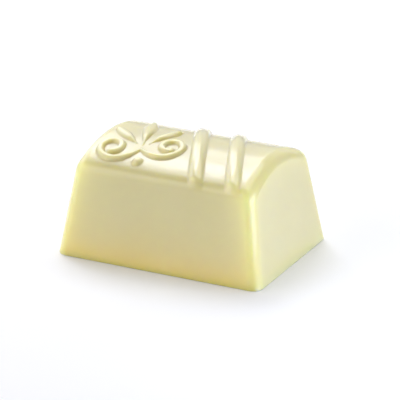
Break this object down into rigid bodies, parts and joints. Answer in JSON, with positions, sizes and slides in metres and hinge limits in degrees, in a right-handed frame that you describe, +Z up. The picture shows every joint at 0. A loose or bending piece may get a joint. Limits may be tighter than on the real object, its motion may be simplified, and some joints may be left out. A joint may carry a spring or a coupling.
{
  "type": "chocolate praline",
  "caption": "Moulded white chocolate praline: a drafted block with an arched roof, slanted raised ribs and a raised palmette, to eat or set in a box.",
  "frame": {"origin": "centre of the flat base that the praline stands on", "axes": "+X along the length, from the palmette's side towards the ribs; +Y across the width, from the pictured long side to the other; +Z up"},
  "size_m": [0.035, 0.025, 0.0182],
  "materials": {
    "white_chocolate": "soft sheen of moulded white chocolate, slightly translucent"
  },
  "bodies": {
    "root": {"praline": "white_chocolate"}
  },
  "joints": []
}
